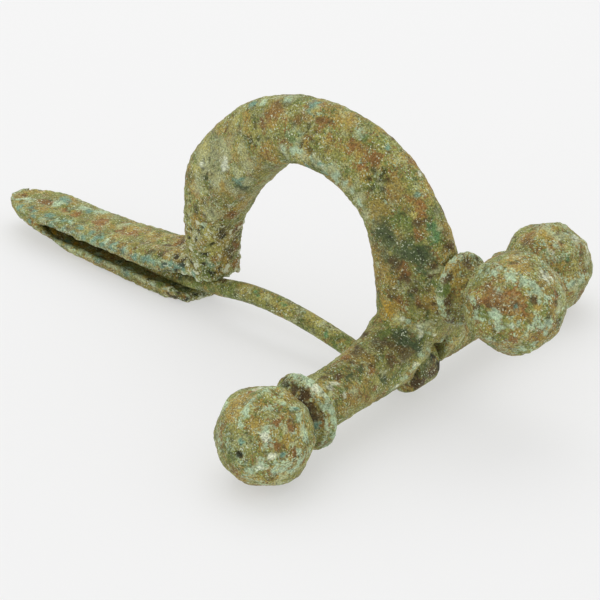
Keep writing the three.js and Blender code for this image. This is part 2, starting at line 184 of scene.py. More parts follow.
def corroded_bronze(name, rust, green, bloom):
    """The finish of one kind of piece: stained metal, dirt in its low places, painted shade in its creases
    and painted highlights on its grains.

    "rust" and "green" widen the patches of those colours, and "bloom" the pale blue-green crust."""
    material = bpy.data.materials.new(name)
    material.use_nodes = True
    nodes, links = material.node_tree.nodes, material.node_tree.links
    shader = nodes["Principled BSDF"]
    place = nodes.new("ShaderNodeTexCoord").outputs["Object"]

    def cloud(size, detail=2.0, shift=0.0):
        """Soft blotches of about this size; the shift sets one layer's blotches apart from another's."""
        shifted = nodes.new("ShaderNodeMapping")
        shifted.inputs["Location"].default_value = (shift, shift * 0.7, shift * 1.3)
        links.new(place, shifted.inputs["Vector"])
        field = nodes.new("ShaderNodeTexNoise")
        field.inputs["Scale"].default_value = 1 / size
        field.inputs["Detail"].default_value = detail
        links.new(shifted.outputs["Vector"], field.inputs["Vector"])
        return field.outputs["Fac"]

    def between(value, low, high, out_low=0.0, out_high=1.0):
        """Leads a value smoothly from one number to another as it crosses a span."""
        span = nodes.new("ShaderNodeMapRange")
        span.interpolation_type = "SMOOTHSTEP"
        for label, number in (("From Min", low), ("From Max", high), ("To Min", out_low),
                              ("To Max", out_high)):
            span.inputs[label].default_value = number
        links.new(value, span.inputs["Value"])
        return span.outputs["Result"]

    def laid(under, over, share, kind="MIX"):
        """Lays one colour over another, as thickly as the share says."""
        layer = nodes.new("ShaderNodeMix")
        layer.data_type = "RGBA"
        layer.blend_type = kind
        for source, socket in ((share, layer.inputs[0]), (under, layer.inputs[6]), (over, layer.inputs[7])):
            if isinstance(source, (list, float)):
                socket.default_value = source
            else:
                links.new(source, socket)
        return layer.outputs[2]

    def combined(first, second, kind="MULTIPLY"):
        """Two values multiplied, unless another way of joining them is named."""
        step = nodes.new("ShaderNodeMath")
        step.operation = kind
        for source, socket in ((first, step.inputs[0]), (second, step.inputs[1])):
            if isinstance(source, float):
                socket.default_value = source
            else:
                links.new(source, socket)
        return step.outputs[0]

    def kept(label):
        """What was kept on the skin under this label."""
        reader = nodes.new("ShaderNodeAttribute")
        reader.attribute_name = label
        return reader

    def patch(size, low, high, share, shift):
        """Patches of about this size with ragged edges."""
        ragged = combined(cloud(size, 3, shift), cloud(0.3 * mm, 2, shift), "ADD")
        return between(ragged, low, high, 0, share)

    relief, edge, crust, stain = (kept(label) for label in ("relief", "edge", "crust", "stain"))
    # Patches of every colour that the corroded metal has, then its own stains over them, with the few marks
    # of painted shade.
    metal = laid(patina["olive"], patina["ochre"], between(cloud(2.8 * mm, 3), 0.44, 0.62))
    metal = laid(metal, patina["moss"], patch(2.6 * mm, 1.06 - green, 1.18 - green, 0.8, 0.02))
    metal = laid(metal, patina["sage"], patch(1.6 * mm, 1.04, 1.18, 0.6, 0.03))
    metal = laid(metal, patina["rust"], patch(2.0 * mm, 1.08 - rust, 1.22 - rust, 0.75, 0.01))
    metal = laid(metal, stain.outputs["Color"], stain.outputs["Alpha"])
    # The pale crust, which stays off the stains, on open places and on rubbed edges.
    bare = between(stain.outputs["Alpha"], 0.35, 0.85, 1, 0.15)
    crusted = patch(1.3 * mm, 1.22 - bloom, 1.3 - bloom, 0.75, 0.07)
    metal = laid(metal, patina["mint"], combined(crusted, bare))
    rubbed = combined(between(edge.outputs["Fac"], 0.3, 1.4), patch(0.9 * mm, 0.95, 1.15, 0.8, 0.09))
    metal = laid(metal, patina["mint"], combined(rubbed, bare))
    # Raised places of the relief made paler: partly straw-coloured crust, partly a painted highlight on their
    # tops.
    metal = laid(metal, patina["straw"], between(relief.outputs["Fac"], 0.2, 0.6, 0, 0.55))
    # A light and dark mottle over it all, dirt in the low places of the relief, and painted shade in the
    # creases.
    mottle = combined(between(cloud(0.21 * mm, 2, 0.04), 0.3, 0.7, 0.62, 1.4),
                      between(cloud(3.2 * mm, 2, 0.08), 0.3, 0.7, 0.86, 1.16))
    fine = nodes.new("ShaderNodeCombineColor")
    for channel in ("Red", "Green", "Blue"):
        links.new(mottle, fine.inputs[channel])
    metal = laid(metal, fine.outputs["Color"], 1.0, "MULTIPLY")
    dirt = combined(between(relief.outputs["Fac"], -0.1, -0.5),
                    between(crust.outputs["Fac"], 0, 1, 0.42, 0.85))
    metal = laid(metal, patina["grime_and_shade"], dirt)
    # Painted shade: dark colour laid where the skin lies below the shape round it, in creases and hollows.
    metal = laid(metal, patina["grime_and_shade"], between(edge.outputs["Fac"], -0.3, -1.8, 0, 0.85))
    # Painted highlights as pale glints on the grains, and dark pits, in clusters; the glints are closest
    # where the crust is coarse.
    painted_glints = combined(combined(relief.outputs["Fac"], crust.outputs["Fac"]), cloud(0.3 * mm, 2, 0.05))
    metal = laid(metal, patina["pale"], between(painted_glints, 0.11, 0.19, 0, 0.75))
    sparkling = between(cloud(1.8 * mm, 2, 0.12), 0.4, 0.6, 0.3, 1)
    pits = between(cloud(0.26 * mm, 1, 0.13), 0.36, 0.29, 0, 0.75)
    metal = laid(metal, patina["grime_and_shade"], combined(pits, sparkling))
    # Painted highlights: sparse pale glints in the clusters, and all over where the crust is coarse.
    grains = combined(cloud(0.24 * mm, 1, 0.11), combined(crust.outputs["Fac"], 0.02), "ADD")
    metal = laid(metal, patina["pale"], combined(between(grains, 0.64, 0.69, 0, 0.9),
                                                 combined(sparkling, crust.outputs["Fac"], "MAXIMUM")))
    links.new(metal, shader.inputs["Base Color"])
    shader.inputs["Roughness"].default_value = 0.6
    shader.inputs["Specular IOR Level"].default_value = 0.3
    bump = nodes.new("ShaderNodeBump")
    bump.inputs["Strength"].default_value = 1.0
    bump.inputs["Distance"].default_value = 0.15 * mm
    links.new(cloud(0.2 * mm, 2, 0.04), bump.inputs["Height"])
    links.new(bump.outputs["Normal"], shader.inputs["Normal"])
    return material


# The stains that the casting shows, by colour, with a painted shadow line among them: the place of each mark
# and its reach, in millimetres.
casting_stains_and_shadow = {
    "rust": [(4.3, -2.1, 32.3, 1.8), (3.1, -2.8, 30.4, 1.0), (8.5, -2.3, 32.9, 1.3),
        (11.9, -2.2, 33.1, 1.0), (-4.8, 0.7, 12.4, 1.0), (17.2, -2.5, 31.6, 1.0),
        (20.5, -2.1, 31.0, 1.1), (25.7, -1.8, 27.0, 0.8), (27.2, -2.5, 23.1, 0.8),
        (-44.4, 0.1, 4.2, 0.6), (-39.7, 0.0, 4.7, 1.1), (-36.3, 0.1, 4.6, 0.8), (-29.5, 0.3, 5.1, 1.1),
        (-23.3, 0.3, 5.4, 1.0), (26.1, -3.9, 13.8, 1.0), (24.1, -12.5, 9.5, 1.0),
        (28.3, -11.7, 6.5, 0.6), (28.3, 6.2, 7.1, 0.5), (23.6, 1.0, 30.3, 0.8), (26.1, 1.0, 27.8, 0.8),
        (27.8, 1.7, 24.6, 0.6), (26.2, -3.7, 18.6, 0.9), (27.7, -11.3, 8.4, 0.6), (-34.0, 0.5, 4.8, 0.9),
        (-25.2, 0.1, 5.1, 0.9), (-15.2, 0.9, 6.5, 0.9), (-14.7, -2.5, 6.7, 0.9), (-3.4, -1.8, 15.6, 1.0),
        (28.3, -3.2, 15.1, 0.8), (25.6, -4.0, 14.4, 0.6), (19.1, -2.9, 29.9, 1.1),
        (26.7, -1.6, 26.3, 1.0), (-5.5, 1.3, 9.2, 0.8), (-5.8, 1.5, 6.6, 0.8)],
    "turquoise": [(9.8, -1.4, 34.1, 1.0), (-0.5, -3.5, 22.1, 0.9), (14.2, -3.8, 28.3, 1.0),
        (20.9, -0.9, 32.2, 0.5), (25.8, -1.3, 27.7, 0.5), (-40.1, -2.5, 4.8, 0.6),
        (-36.2, -2.8, 4.9, 0.8), (-33.7, -2.5, 4.9, 0.6), (-28.1, -2.7, 5.1, 0.9),
        (-23.0, -3.5, 5.3, 0.9), (-16.4, -4.0, 5.5, 0.8), (-13.0, -3.7, 5.8, 0.8),
        (-38.0, 1.9, 4.9, 0.9), (-33.2, 1.9, 5.0, 0.6), (-34.6, -1.4, 1.0, 0.5), (-0.2, -1.1, 31.6, 0.8),
        (-41.7, -3.1, 4.7, 0.6), (-38.8, -3.0, 4.8, 0.6), (-30.5, -2.6, 5.0, 0.8),
        (-26.3, -3.0, 5.2, 0.8), (-18.8, -4.0, 5.3, 0.6), (-11.5, -3.4, 5.9, 0.6),
        (10.6, -3.2, 27.3, 0.6), (13.0, -3.8, 28.6, 0.5), (-29.3, -3.2, 2.0, 0.6),
        (-26.6, -3.2, 2.0, 0.8), (-21.0, -3.6, 1.8, 0.8), (-39.2, -3.6, 3.6, 0.5),
        (-32.8, -2.2, 5.0, 0.6), (-6.4, -2.9, 7.9, 0.8), (-38.1, -4.0, 4.7, 0.5),
        (-36.5, -3.9, 4.7, 0.6), (-34.6, -3.8, 4.7, 0.6), (-32.6, -3.7, 4.7, 0.5),
        (-30.7, -3.7, 4.8, 0.6), (-28.6, -3.9, 4.8, 0.6), (-26.6, -4.0, 4.9, 0.5),
        (-24.8, -3.9, 5.0, 0.6), (-22.9, -4.0, 5.1, 0.6), (-21.0, -4.0, 5.1, 0.5),
        (-19.2, -4.0, 5.1, 0.6), (-17.3, -4.0, 5.2, 0.6), (-15.5, -4.0, 5.2, 0.5),
        (-13.8, -3.9, 5.4, 0.6), (-12.3, -3.6, 5.6, 0.6), (-10.8, -3.3, 5.6, 0.5), (-8.9, -3.3, 6.0, 0.6)],
    "mint": [(1.4, -1.1, 32.4, 0.8), (5.3, -0.8, 33.9, 0.6), (8.7, -3.3, 30.7, 1.3),
        (8.9, -3.7, 29.1, 0.9), (-6.7, -3.5, 13.7, 0.5), (-9.0, -3.3, 12.4, 0.5),
        (15.4, -3.7, 27.3, 0.8), (17.4, -1.5, 33.1, 0.8), (-21.0, -3.8, 5.3, 0.6),
        (-25.8, 2.1, 5.4, 0.6), (-24.8, -1.1, 1.0, 0.6), (28.6, -4.8, 6.4, 0.6), (28.9, -3.5, 7.7, 0.6),
        (28.2, -6.6, 5.5, 0.5), (28.0, -8.1, 4.7, 0.5), (29.2, 0.1, 8.8, 0.5), (26.0, -3.9, 11.9, 0.9),
        (28.2, -3.0, 11.0, 0.9), (27.0, -3.6, 11.7, 0.5), (28.8, -2.5, 10.5, 0.5),
        (28.8, -2.1, 7.9, 0.5), (26.8, 2.3, 6.2, 0.5), (28.2, -5.7, 5.6, 0.5), (-34.8, -2.9, 4.9, 0.6),
        (-32.2, -2.4, 5.0, 0.6), (-24.6, -3.2, 5.2, 0.6), (-14.6, -4.0, 5.8, 0.6),
        (-22.5, -1.3, 1.0, 0.6), (7.0, -3.8, 28.6, 0.5), (9.7, -3.7, 29.1, 0.6), (11.8, -3.7, 29.0, 0.5),
        (15.5, -3.8, 28.1, 0.5), (17.1, -3.8, 27.6, 0.5), (18.2, -3.8, 26.6, 0.5),
        (19.5, -3.9, 25.3, 0.5), (-42.4, -0.8, 4.7, 1.0), (-43.6, -1.5, 4.5, 0.5),
        (-38.4, 0.5, 4.7, 0.9), (-31.9, 2.7, 4.9, 1.1), (-34.4, 2.1, 4.9, 0.9), (-35.1, -2.8, 2.0, 0.8),
        (-32.2, -3.4, 2.0, 0.6), (-28.7, -1.3, 1.0, 0.6), (-24.6, -3.0, 2.0, 0.6),
        (-21.6, -3.4, 2.0, 0.6), (-16.2, -3.6, 1.8, 0.6)],
    "pale": [(-7.4, -2.8, 21.8, 0.5), (-2.9, -2.7, 17.5, 0.4), (-1.6, -2.0, 18.8, 0.4),
        (24.8, 0.3, 29.6, 0.4), (29.3, -1.7, 10.1, 0.5), (28.0, -7.3, 4.8, 0.5), (28.9, -4.6, 7.0, 0.5),
        (26.9, -17.1, 8.9, 0.6), (26.0, -3.9, 12.1, 0.5), (28.1, -3.0, 11.1, 0.5),
        (27.9, -16.7, 7.7, 0.5), (26.8, -18.1, 8.9, 0.5), (28.6, -3.4, 10.6, 0.5), (-3.0, -3.4, 23.3, 1.0)],
    "sage": [(1.0, -3.7, 24.8, 1.5), (19.5, -3.8, 26.0, 0.8), (26.1, -3.8, 11.8, 0.8),
        (28.0, -3.1, 11.2, 0.8), (29.2, -2.3, 11.6, 0.8), (-6.6, -2.8, 22.9, 2.8),
        (-7.8, -3.2, 18.8, 1.5), (9.8, -3.8, 28.8, 1.0), (12.6, -3.8, 28.6, 1.0),
        (15.2, -3.8, 28.1, 1.0), (17.3, -3.8, 27.2, 0.9), (18.9, -3.9, 26.1, 0.9),
        (20.0, -3.8, 24.4, 0.8), (7.2, -3.8, 28.5, 0.9), (27.9, -15.4, 7.7, 0.6),
        (27.2, -18.6, 8.6, 0.5), (-43.9, 2.9, 4.5, 0.6), (-40.8, 3.4, 4.7, 0.6), (-36.9, 3.8, 4.7, 0.8),
        (-32.5, 4.1, 4.8, 0.8), (-27.6, 4.2, 5.0, 0.8), (-22.3, 4.0, 5.2, 0.8), (-19.0, -3.0, 2.0, 0.6),
        (13.7, -3.7, 28.6, 0.6), (-36.4, -4.0, 4.5, 0.5), (-26.4, 1.0, 5.3, 1.0),
        (-4.6, -3.5, 20.7, 1.3), (-7.0, -2.8, 22.5, 1.3), (28.5, 2.3, 7.8, 0.6), (28.6, 5.0, 6.6, 0.6),
        (29.8, -2.0, 19.2, 0.6), (28.1, -9.4, 7.7, 0.5), (28.9, -0.5, 23.7, 0.5),
        (28.1, -0.3, 25.3, 0.5), (-3.5, -2.9, 25.0, 2.0), (-3.3, -3.6, 20.9, 1.5),
        (-1.2, -3.0, 20.2, 1.3), (-5.3, -3.4, 15.7, 1.4), (-7.8, -3.4, 11.7, 1.0),
        (3.6, -3.0, 25.1, 0.8), (1.1, -2.9, 22.3, 0.8), (3.9, -0.5, 33.6, 0.8), (6.0, -0.6, 34.1, 0.9),
        (22.3, -3.9, 18.2, 0.6), (-36.0, -1.9, 1.5, 0.8), (-31.7, -3.5, 1.6, 0.8),
        (-23.8, -3.4, 2.0, 0.9), (-18.4, -3.6, 1.8, 0.8), (-15.9, -3.5, 1.6, 0.8),
        (-12.0, -2.2, 7.0, 0.6), (26.5, -11.5, 9.4, 0.5), (-29.3, -3.2, 2.0, 0.6),
        (-19.0, -3.4, 2.0, 0.6), (-6.3, -2.9, 8.2, 0.6), (-0.4, -3.4, 26.2, 0.8),
        (-0.6, -3.6, 23.2, 0.8), (1.4, -3.5, 24.3, 0.8), (0.1, -3.1, 21.8, 0.6), (-10.2, -2.9, 6.9, 0.5)],
    "ochre": [(-10.2, -2.2, 20.2, 0.8), (23.7, -2.3, 28.0, 1.5), (23.2, -1.9, 29.3, 0.9),
        (22.3, -3.5, 25.3, 1.8), (-37.9, -1.9, 2.4, 0.6), (-35.9, -1.1, 1.4, 0.6),
        (-31.6, -1.1, 1.0, 0.6), (-18.2, -2.7, 2.0, 0.6), (24.9, -4.1, 13.4, 1.0),
        (26.5, -10.5, 9.5, 0.8), (15.3, -1.0, 34.1, 1.3), (27.9, -12.9, 8.0, 0.6),
        (-27.2, 0.2, 5.0, 1.0), (-19.3, -0.6, 6.1, 1.1), (-30.3, -1.1, 1.0, 0.6),
        (-7.5, -3.4, 11.2, 1.3), (-2.9, -3.5, 19.9, 1.0), (17.6, -3.7, 27.8, 0.6),
        (23.1, -4.0, 13.6, 0.6), (-11.9, -2.6, 6.7, 0.8), (-13.9, -3.2, 6.3, 0.6), (-5.7, -0.7, 7.6, 0.9)],
    "bottle": [(22.6, -3.8, 23.2, 1.5), (26.8, -3.1, 21.7, 2.3), (24.1, -3.7, 22.0, 1.3),
        (27.2, -5.5, 10.6, 1.1), (28.9, -4.2, 9.7, 1.1), (26.8, -12.8, 9.1, 0.6),
        (-0.5, -3.0, 21.0, 1.0), (23.9, -4.0, 19.9, 1.5), (28.3, -2.6, 20.9, 1.5),
        (27.0, -14.7, 8.9, 0.8), (28.2, -9.9, 7.1, 0.8), (-10.8, -0.1, 0.6, 0.6),
        (23.2, -3.8, 22.4, 1.8), (26.0, -3.4, 20.9, 1.9), (28.2, -4.9, 10.2, 1.1),
        (29.0, -3.9, 8.7, 1.0), (-24.9, -0.8, 1.0, 0.5), (28.5, -2.9, 19.1, 0.8),
        (27.4, -3.6, 15.4, 0.6), (29.8, -2.5, 18.2, 0.8), (28.2, -8.2, 6.7, 0.6),
        (-12.9, -0.9, 1.0, 0.8), (-15.1, -0.2, 1.0, 0.6), (-11.0, -0.7, 1.0, 0.6)],
    "verdigris": [(28.3, -1.2, 24.4, 0.8), (28.8, -1.4, 23.2, 0.9), (-6.2, -2.7, 8.0, 0.4),
        (-5.8, -1.8, 7.8, 0.4)],
    "umber": [(27.6, 1.7, 25.0, 0.8), (29.9, -0.1, 21.6, 0.9), (26.2, -3.8, 17.8, 1.0),
        (-16.2, -0.5, 6.3, 0.9), (-5.3, 0.5, 10.0, 1.0), (-5.6, 0.1, 8.2, 1.0), (24.2, -10.2, 9.8, 0.8),
        (20.4, 1.3, 32.2, 0.8), (28.4, -6.0, 9.1, 1.8), (26.1, -8.0, 10.1, 1.5), (25.1, -10.5, 9.8, 1.3),
        (-24.1, -0.0, 1.0, 0.4), (-5.0, -2.0, 12.6, 1.5), (24.9, -3.9, 19.3, 1.1),
        (27.7, -3.5, 16.4, 1.1), (27.3, -6.6, 10.0, 1.8), (27.0, -10.6, 9.2, 1.1),
        # The five small umber marks down the leg, at x = 29 to 30 mm and z = 13.5 to 20 mm, are a painted
        # shadow beside the head knob's collar.
        (29.2, -2.3, 20.0, 0.5), (29.2, -2.7, 18.6, 0.5), (29.5, -3.0, 16.9, 0.5),
        (30.0, -2.8, 15.1, 0.5), (30.0, -1.9, 13.5, 0.5), (26.0, -15.8, 9.3, 0.6),
        (25.6, -12.6, 9.6, 0.6), (27.1, -2.0, 24.7, 1.1), (22.2, -3.7, 14.2, 0.9),
        (28.3, -3.2, 14.3, 1.0), (22.8, -7.0, 9.9, 0.9), (28.1, -8.1, 8.6, 0.9), (25.2, -17.3, 9.4, 0.6),
        (26.0, -16.1, 9.3, 0.6), (26.9, -14.5, 9.0, 0.9), (29.4, -2.1, 19.9, 0.6),
        (24.8, -4.1, 15.2, 0.8), (-4.8, 0.2, 12.2, 0.6)],
    "moss": [(-12.9, -3.0, 2.0, 0.8), (-6.7, -3.1, 6.6, 0.9), (25.5, -6.5, 10.6, 1.0),
        (27.7, -16.8, 8.1, 0.8), (25.2, -3.0, 24.5, 1.5), (22.7, -3.9, 13.0, 0.8),
        (-27.0, -2.8, 2.0, 0.5), (-15.2, -3.1, 2.0, 0.8), (-12.3, -1.5, 1.0, 0.8),
        (30.3, -2.8, 17.8, 0.8), (27.3, -2.6, 22.8, 1.3), (29.3, -1.0, 22.7, 1.0),
        (30.2, -2.8, 17.8, 0.5), (18.0, -1.6, 32.8, 1.0), (8.5, -3.4, 30.5, 1.0),
        (22.3, -3.9, 22.0, 0.6), (-5.8, -0.8, 5.5, 0.8), (27.2, -17.5, 8.6, 0.5), (27.8, -7.7, 4.5, 0.5),
        (22.7, -3.9, 13.7, 0.8)],
    "amber": [(24.4, -4.1, 13.1, 1.1), (-36.8, -1.5, 1.9, 0.6), (-33.1, -1.2, 1.0, 0.6)],
    "straw": [(-7.5, -2.2, 23.6, 1.5), (-8.5, -2.9, 20.4, 1.0), (-2.9, -2.0, 28.3, 1.5),
        (1.8, -3.0, 29.2, 1.5), (-0.4, -3.4, 26.2, 1.3), (28.6, 3.6, 6.5, 0.8), (28.0, -14.0, 7.5, 0.5),
        (28.1, -11.1, 7.3, 0.5), (26.2, -2.1, 25.8, 0.6), (-6.1, -3.1, 11.9, 0.8),
        (-37.8, -3.1, 2.7, 0.5), (-35.7, -2.9, 2.2, 0.5), (-33.2, -3.1, 2.0, 0.5),
        (-5.8, -2.5, 10.0, 1.1), (-6.0, -3.2, 12.8, 0.9)],
    "grime_and_shade": [(-29.4, -0.0, 1.0, 0.4)],
}

# Four worn rosettes stand in the near side of the bow: a few beads round a dented middle. The surface is at
# its roughest where the bow comes down to the foot, and is wrinkled across on top of the foot. A lump of
# crust is its place, its reach and its rise.
rosettes = [(-6.2, 21.8), (1.3, 28.3), (10.6, 31.1), (21.2, 28.7)]
rosette_beads = 6
bead_ring = 1.1
bead_width = 0.45
least_crust = 0.12
foot_wrinkle = 0.06
wrinkle_spacing = 2.3
crust_lumps = [(9.8, -1.4, 34.1, 0.9, 0.16), (-0.2, -1.1, 31.6, 0.8, 0.14),
    (14.4, -3.8, 28.2, 0.9, 0.16), (5.3, -0.8, 33.9, 0.5, 0.16), (8.9, -3.3, 30.7, 1.0, 0.14),
    (17.4, -1.5, 33.1, 0.7, 0.16), (1.4, -1.1, 32.4, 0.5, 0.16), (5.7, -3.7, 28.2, 0.6, 0.16),
    (26.0, -3.9, 11.9, 0.8, 0.35), (28.2, -3.0, 11.0, 0.8, 0.35), (29.2, -1.8, 10.2, 0.6, 0.3),
    (28.1, -6.5, 5.0, 0.7, 0.25), (28.2, -5.3, 5.4, 0.7, 0.3), (28.4, -4.4, 6.1, 0.7, 0.3),
    (28.9, -3.9, 7.2, 0.7, 0.3), (28.9, -2.7, 7.7, 0.7, 0.25), (29.1, 0.1, 8.5, 0.6, 0.2)]


def foot_column(place):
    """How coarse the corrosion is: most where the bow's leg meets the foot, less along the foot's edge."""
    leg = 1 - eased(abs(place.x / mm + 8), 4, 9)
    low = 1 - eased(place.z / mm, 12, 19)
    near_edge = eased(-place.y / mm, 1.5, 3.5) * (1 - eased(place.x / mm, -14, -9))
    return least_crust + (1 - least_crust) * max(leg * low, 0.25 * near_edge)


def coarseness(place):
    """How coarse the skin of the casting is: the foot column, and the corroded rosettes."""
    nearest = min(hypot(place.x / mm - x, place.z / mm - z) for x, z in rosettes)
    return max(foot_column(place), 0.4 * (1 - eased(nearest, 1.3, 2.1)) * eased(-place.y / mm, 1, 2))


def cast_surface(place, normal):
    """The height of the wrinkles, lumps and rosettes at a place on the casting."""
    x, y, z = place / mm
    height = 0.24 * noise.noise(Vector((x / 1.2, y / 1.2, z / 0.5))) * (foot_column(place) - least_crust)
    if normal.z > 0.3 and -27 < x < -12:
        bend = 2 * noise.noise(place / (2 * mm))
        fade = eased(x, -27, -22) * (1 - eased(x, -14, -12))
        height += foot_wrinkle * cos(2 * pi * x / wrinkle_spacing + bend) * fade
    for *middle, reach, rise in crust_lumps:
        away = (place / mm - Vector(middle)).length / reach
        if away < 2:
            height += rise * exp(-away * away)
    if normal.y < -0.25 and z > 18:
        for middle_x, middle_z in rosettes:
            aside, above = x - middle_x, z - middle_z
            away = hypot(aside, above)
            bead = 0.5 + 0.5 * cos(rosette_beads * atan2(above, aside) + middle_x)
            height += exp(-(((away - bead_ring) / bead_width) ** 2)) * (0.5 * bead - 0.32)
            height -= 0.24 * exp(-((away / bead_width) ** 2))
    return height * mm


# The crust stands a little out from the solid on the bow, on top of the foot and round the arms.
casting_growth = 0.1 * mm
casting = cast_piece("bow_crossbar_and_foot", "worn_bow_crossbar_and_foot")
worn_skin(casting, casting_grain)
outward = [normal.vector.copy() for normal in casting.data.vertex_normals]
for vertex, normal in zip(casting.data.vertices, outward):
    x, y, z = vertex.co / mm
    on_foot = eased(normal.z, 0.2, 0.6) * (1 - eased(x, -12, -10))
    on_arm = eased(abs(y), 5, 7) * (1 - eased(abs(y), 17, 18.5)) * eased(x, 18, 20)
    vertex.co += normal * (casting_growth * max(eased(z, 9, 13), on_foot, on_arm))
corrode(casting, casting_stains_and_shadow, 0.2 * mm, edge_rubs, coarseness, cast_surface)
casting.data.materials.clear()
casting.data.materials.append(corroded_bronze("cast bronze", 0.0, 0.03, 0.03))
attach(casting, "brooch")
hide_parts("bow_crossbar_and_foot")

# The two onion knobs at the ends of the crossbar, each cast with a wide rim, a groove and a narrower rim
# below its neck, and fixed on the end of its arm. Eight soft ridges run from the neck to a dent in the
# crown.
knob_grain = 0.16 * mm
knob_rubs = 60
lap = 0.1
end_collar = [(0.55, 4.0, 4.9), (0.4, 4.9, 4.8), (0.4, 3.7, 3.7), (0.45, 4.45, 4.25), (0.65, 3.9, 2.95)]
knob_ridges = 8


def onion_knob(name, radius, length, collar, pit_depth):
    """A knob standing on its seat at the origin, its crown up: the rings of its collar, then the ridged ball.

    Each ring is its width and the radius at its two ends, and laps over the next. "length" is how long the
    ball is for its radius."""
    centre = sum(width for width, low, high in collar) + (radius * radius - collar[-1][2] ** 2) ** 0.5
    shape = bmesh.new()
    ball = bmesh.ops.create_uvsphere(shape, u_segments=128, v_segments=96, radius=radius * mm)["verts"]
    for vertex in ball:
        x, y, z = vertex.co / mm
        side = 2 * pi / knob_ridges
        flat = cos(side / 2) / cos(atan2(y, x) % side - side / 2)
        inset = 1 - (1 - flat) * (1 - eased(abs(z) / radius, 0.7, 0.98))
        dent = length - pit_depth / radius * exp(-((hypot(x - 0.8, y - 0.3) / 0.5) ** 2)) * (z > 0)
        vertex.co = Vector((x * inset, y * inset, z * dent)) * mm
    bmesh.ops.translate(shape, verts=ball, vec=(0, 0, centre * mm))
    foot = 0
    for width, low, high in collar:
        ring = bmesh.ops.create_cone(shape, cap_ends=True, segments=96, radius1=low * mm, radius2=high * mm,
                                     depth=(width + lap) * mm)["verts"]
        bmesh.ops.translate(shape, verts=ring, vec=(0, 0, (foot + (width + lap) / 2) * mm))
        foot += width
    piece = finished_piece(shape, name)
    worn_skin(piece, knob_grain)
    return piece


def end_knob(name, node, side, radius, length, stains):
    """One end knob, turned out along its arm and set on the arm's end."""
    knob = onion_knob(name, radius, length, end_collar, 0.9)
    low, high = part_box(node)
    seat = Matrix.Translation(((low.x + high.x) / 2, low.y if side > 0 else high.y, (low.z + high.z) / 2))
    knob.data.transform(seat @ Matrix.Rotation(-side * pi / 2, 4, "X"))
    corrode(knob, stains, 0.15 * mm, knob_rubs, lambda place: 0.2)
    knob.data.materials.clear()
    knob.data.materials.append(knob_finish)
    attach(knob, "brooch")
    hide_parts(node)


near_knob_stains = {
    "mint": [(28.0, -20.5, 9.9, 0.8), (25.2, -27.6, 12.1, 0.5), (25.2, -30.6, 11.4, 0.6),
        (25.6, -32.3, 9.9, 0.4), (28.2, -31.3, 9.7, 0.6), (27.5, -27.3, 11.4, 0.5),
        (30.6, -26.8, 7.8, 0.6), (28.4, -32.6, 5.5, 0.8), (29.5, -31.2, 4.8, 0.8),
        (30.4, -30.0, 5.4, 0.6), (30.5, -28.7, 4.4, 0.6), (23.9, -20.7, 10.6, 0.5),
        (25.9, -20.7, 10.1, 0.6), (28.2, -20.7, 9.3, 0.6), (29.2, -20.7, 7.7, 0.6),
        (29.3, -20.7, 4.9, 0.6), (28.1, -20.5, 2.6, 0.6), (24.4, -20.7, 10.6, 0.9),
        (25.6, -20.7, 10.4, 0.9), (28.9, -20.7, 8.6, 0.9), (29.6, -20.7, 6.8, 0.9),
        (29.5, -20.6, 4.8, 0.9), (28.9, -20.5, 3.3, 0.8), (24.0, -26.9, 11.9, 0.6),
        (25.4, -31.2, 10.9, 0.6), (28.9, -31.7, 8.1, 0.6), (30.1, -30.3, 4.7, 0.8),
        (30.9, -28.2, 5.3, 0.6), (28.6, -26.8, 10.8, 0.6), (29.7, -26.8, 9.8, 0.6),
        (30.3, -26.9, 8.5, 0.6), (29.6, -31.0, 4.6, 0.8), (28.7, -32.4, 6.2, 0.8),
        (27.3, -33.1, 4.9, 0.6), (30.2, -29.2, 4.0, 0.6), (30.9, -28.3, 6.8, 0.6)],
    "rust": [(23.3, -28.2, 11.7, 0.8), (28.7, -29.6, 10.4, 0.8), (29.8, -28.5, 9.5, 0.8),
        (29.3, -31.2, 8.0, 0.9), (30.7, -29.3, 6.7, 0.6), (30.7, -27.3, 4.8, 0.6)],
    "pale": [(23.8, -27.3, 11.8, 0.6), (28.7, -31.6, 8.8, 0.5), (29.5, -31.5, 6.7, 0.5),
        (26.9, -20.7, 10.0, 0.9), (27.8, -20.7, 9.5, 0.5), (28.5, -31.5, 9.2, 0.6),
        (28.4, -32.6, 5.7, 0.8)],
    "turquoise": [(28.8, -26.4, 10.6, 0.5), (26.3, -33.1, 8.3, 0.5), (30.1, -30.7, 6.9, 0.5),
        (28.2, -22.1, 6.2, 0.8)],
    "sage": [(29.6, -29.4, 9.5, 0.5), (30.5, -29.0, 7.7, 0.5), (29.4, -30.0, 2.9, 1.0),
        (27.8, -20.7, 9.4, 0.5)],
    "moss": [(24.8, -33.7, 5.5, 1.3)],
    "grime_and_shade": [(26.0, -33.6, 6.9, 0.5), (23.3, -21.8, 9.9, 0.5)],
    "umber": [(27.8, -21.9, 8.4, 1.1), (26.1, -22.2, 9.1, 0.8), (22.6, -21.7, 9.9, 0.8),
        (24.7, -22.0, 9.7, 0.9), (26.1, -22.0, 9.3, 0.9), (27.3, -22.1, 8.3, 0.9),
        (28.0, -22.2, 7.2, 0.6), (21.2, -20.5, 9.3, 0.5), (21.7, -20.4, 9.9, 0.4), (21.3, -20.5, 9.8, 0.5)],
    "bottle": [(30.0, -24.3, 6.4, 0.8)],
    "ochre": [(23.2, -29.9, 11.2, 1.3), (27.0, -31.6, 10.1, 1.3), (30.0, -29.8, 8.4, 1.1),
        (25.8, -25.9, 11.7, 0.6), (21.3, -21.5, 9.7, 0.5)],
    "olive": [(24.6, -32.9, 9.1, 1.3)],
}
